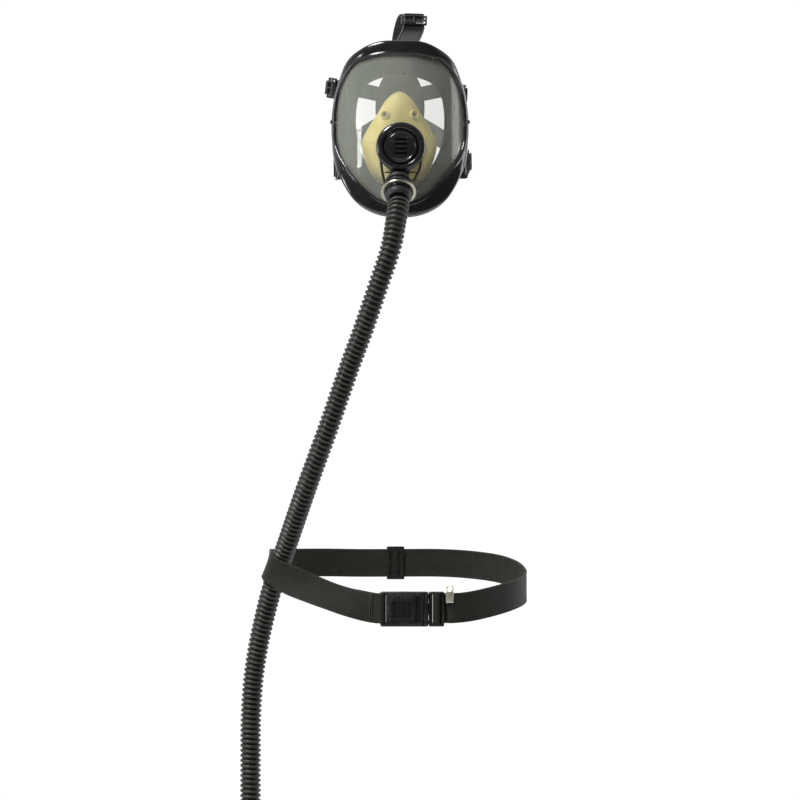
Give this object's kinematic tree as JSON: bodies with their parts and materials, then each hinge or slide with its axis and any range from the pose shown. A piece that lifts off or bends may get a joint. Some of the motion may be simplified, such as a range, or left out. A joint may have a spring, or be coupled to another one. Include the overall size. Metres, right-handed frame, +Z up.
{
  "type": "powered air respirator",
  "caption": "Air-fed full-face respirator: wide lens in a rubber face piece with nose cup and head harness, corrugated breathing hose, and a waist belt with side-release buckle.",
  "frame": {"origin": "middle of the wearer's head at eye level, which holds the mask up", "axes": "+Z up, the wearer faces -Y, +X to the wearer's left"},
  "size_m": [0.3815, 0.3105, 1.2312],
  "materials": {
    "face_rubber": "soft satin rubber",
    "lens_clear": "clear polished moulded lens",
    "gloss_black": "glossy black",
    "bright_steel": "satin metal",
    "buckle_plastic": "fine matte",
    "strap_rubber": "matte moulded rubber",
    "housing_plastic": "fine moulded grain",
    "valve_rubber": "soft matte",
    "cup_yellow": "satin silicone",
    "hose_rubber": "satin corrugated",
    "belt_webbing": "woven",
    "belt_plastic": "satin moulded"
  },
  "bodies": {
    "mask_and_belt": {"facepiece_skirt": "face_rubber", "lens": "lens_clear", "rim_upper": "gloss_black", "rim_lower": "gloss_black", "unit_bezel": "gloss_black", "rim_screw_left": "bright_steel", "rim_screw_right": "bright_steel", "belt_tail_clip": "bright_steel", "top_buckle": "buckle_plastic", "temple_left_buckle": "buckle_plastic", "temple_right_buckle": "buckle_plastic", "cheek_left_buckle": "buckle_plastic", "cheek_right_buckle": "buckle_plastic", "top_strap": "strap_rubber", "temple_left_strap": "strap_rubber", "temple_right_strap": "strap_rubber", "cheek_left_strap": "strap_rubber", "cheek_right_strap": "strap_rubber", "crown_pad": "strap_rubber", "unit_body": "housing_plastic", "unit_retainer": "housing_plastic", "end_connector": "housing_plastic", "connector_oring": "valve_rubber", "nose_cup": "cup_yellow", "cup_valve_seat_left": "cup_yellow", "cup_valve_seat_right": "cup_yellow", "breathing_hose": "hose_rubber", "hose_cuff_top": "hose_rubber", "hose_cuff_end": "hose_rubber", "belt_webbing_right": "belt_webbing", "belt_webbing_left": "belt_webbing", "belt_adjuster": "belt_plastic", "buckle_socket": "belt_plastic", "buckle_plug": "belt_plastic"},
    "top_lever_body": {"top_lever": "buckle_plastic"},
    "temple_left_lever_body": {"temple_left_lever": "buckle_plastic"},
    "temple_right_lever_body": {"temple_right_lever": "buckle_plastic"},
    "cheek_left_lever_body": {"cheek_left_lever": "buckle_plastic"},
    "cheek_right_lever_body": {"cheek_right_lever": "buckle_plastic"},
    "nut": {"coupling_nut": "gloss_black"},
    "cover": {"front_cover": "gloss_black"},
    "exhale_disc": {"exhale_valve_disc": "valve_rubber"},
    "inlet_disc": {"inlet_valve_disc": "valve_rubber"},
    "cup_disc_left": {"cup_valve_disc_left": "valve_rubber"},
    "cup_disc_right": {"cup_valve_disc_right": "valve_rubber"},
    "collar": {"connector_collar": "housing_plastic"},
    "prong_upper": {"buckle_prong_upper": "belt_plastic"},
    "prong_lower": {"buckle_prong_lower": "belt_plastic"}
  },
  "joints": [
    {"name": "top_lever_lift", "type": "hinge", "parent": "mask_and_belt", "child": "top_lever_body", "pos_m": [0.01802, -0.04189, 0.10782], "axis": [0.9992, -0.0223, -0.0331], "range_deg": [0, 40]},
    {"name": "temple_left_lever_lift", "type": "hinge", "parent": "mask_and_belt", "child": "temple_left_lever_body", "pos_m": [0.08758, -0.02083, 0.015], "axis": [-0.0118, 0.118, -0.9929], "range_deg": [0, 40]},
    {"name": "temple_right_lever_lift", "type": "hinge", "parent": "mask_and_belt", "child": "temple_right_lever_body", "pos_m": [-0.08855, -0.02758, 0.023], "axis": [0.1263, -0.1548, 0.9798], "range_deg": [0, 40]},
    {"name": "cheek_left_lever_lift", "type": "hinge", "parent": "mask_and_belt", "child": "cheek_left_lever_body", "pos_m": [0.09166, -0.02117, -0.07279], "axis": [0.02, 0.1999, -0.9796], "range_deg": [0, 40]},
    {"name": "cheek_right_lever_lift", "type": "hinge", "parent": "mask_and_belt", "child": "cheek_right_lever_body", "pos_m": [-0.08613, -0.02533, -0.08137], "axis": [-0.0101, -0.2014, 0.9795], "range_deg": [0, 40]},
    {"name": "nut_turn", "type": "hinge", "parent": "mask_and_belt", "child": "nut", "pos_m": [-0.002, -0.14, -0.1182], "axis": [0, -0.6428, -0.766], "continuous": true},
    {"name": "cover_turn", "type": "hinge", "parent": "mask_and_belt", "child": "cover", "pos_m": [0.001, -0.13, -0.064], "axis": [0, -1, 0], "range_deg": [0, 60]},
    {"name": "exhale_lift", "type": "slide", "parent": "mask_and_belt", "child": "exhale_disc", "axis": [0, -1, 0], "range_m": [0, 0.002], "stiffness_N_per_m": 60, "springref_m": -0.0006},
    {"name": "inlet_lift", "type": "slide", "parent": "mask_and_belt", "child": "inlet_disc", "axis": [0, 0.6428, 0.766], "range_m": [0, 0.0015], "stiffness_N_per_m": 60, "springref_m": -0.0006},
    {"name": "cup_left_lift", "type": "slide", "parent": "mask_and_belt", "child": "cup_disc_left", "axis": [-0.5309, 0.8173, -0.224], "range_m": [0, 0.0012], "stiffness_N_per_m": 60, "springref_m": -0.0006},
    {"name": "cup_right_lift", "type": "slide", "parent": "mask_and_belt", "child": "cup_disc_right", "axis": [0.5056, 0.8393, -0.1997], "range_m": [0, 0.0012], "stiffness_N_per_m": 60, "springref_m": -0.0006},
    {"name": "collar_turn", "type": "hinge", "parent": "mask_and_belt", "child": "collar", "pos_m": [-0.1944, -0.04, -1.09], "axis": [0, 0, 1], "range_deg": [0, 60]},
    {"name": "prong_upper_squeeze", "type": "hinge", "parent": "mask_and_belt", "child": "prong_upper", "pos_m": [0.035, -0.12, -0.638], "axis": [0, -1, 0], "range_deg": [0, 6], "stiffness_Nm_per_rad": 0.4},
    {"name": "prong_lower_squeeze", "type": "hinge", "parent": "mask_and_belt", "child": "prong_lower", "pos_m": [0.035, -0.12, -0.66], "axis": [0, 1, 0], "range_deg": [0, 6], "stiffness_Nm_per_rad": 0.4}
  ],
  "couplings": [
    {"joint": "prong_lower_squeeze", "follows": "prong_upper_squeeze", "ratio": 1}
  ]
}
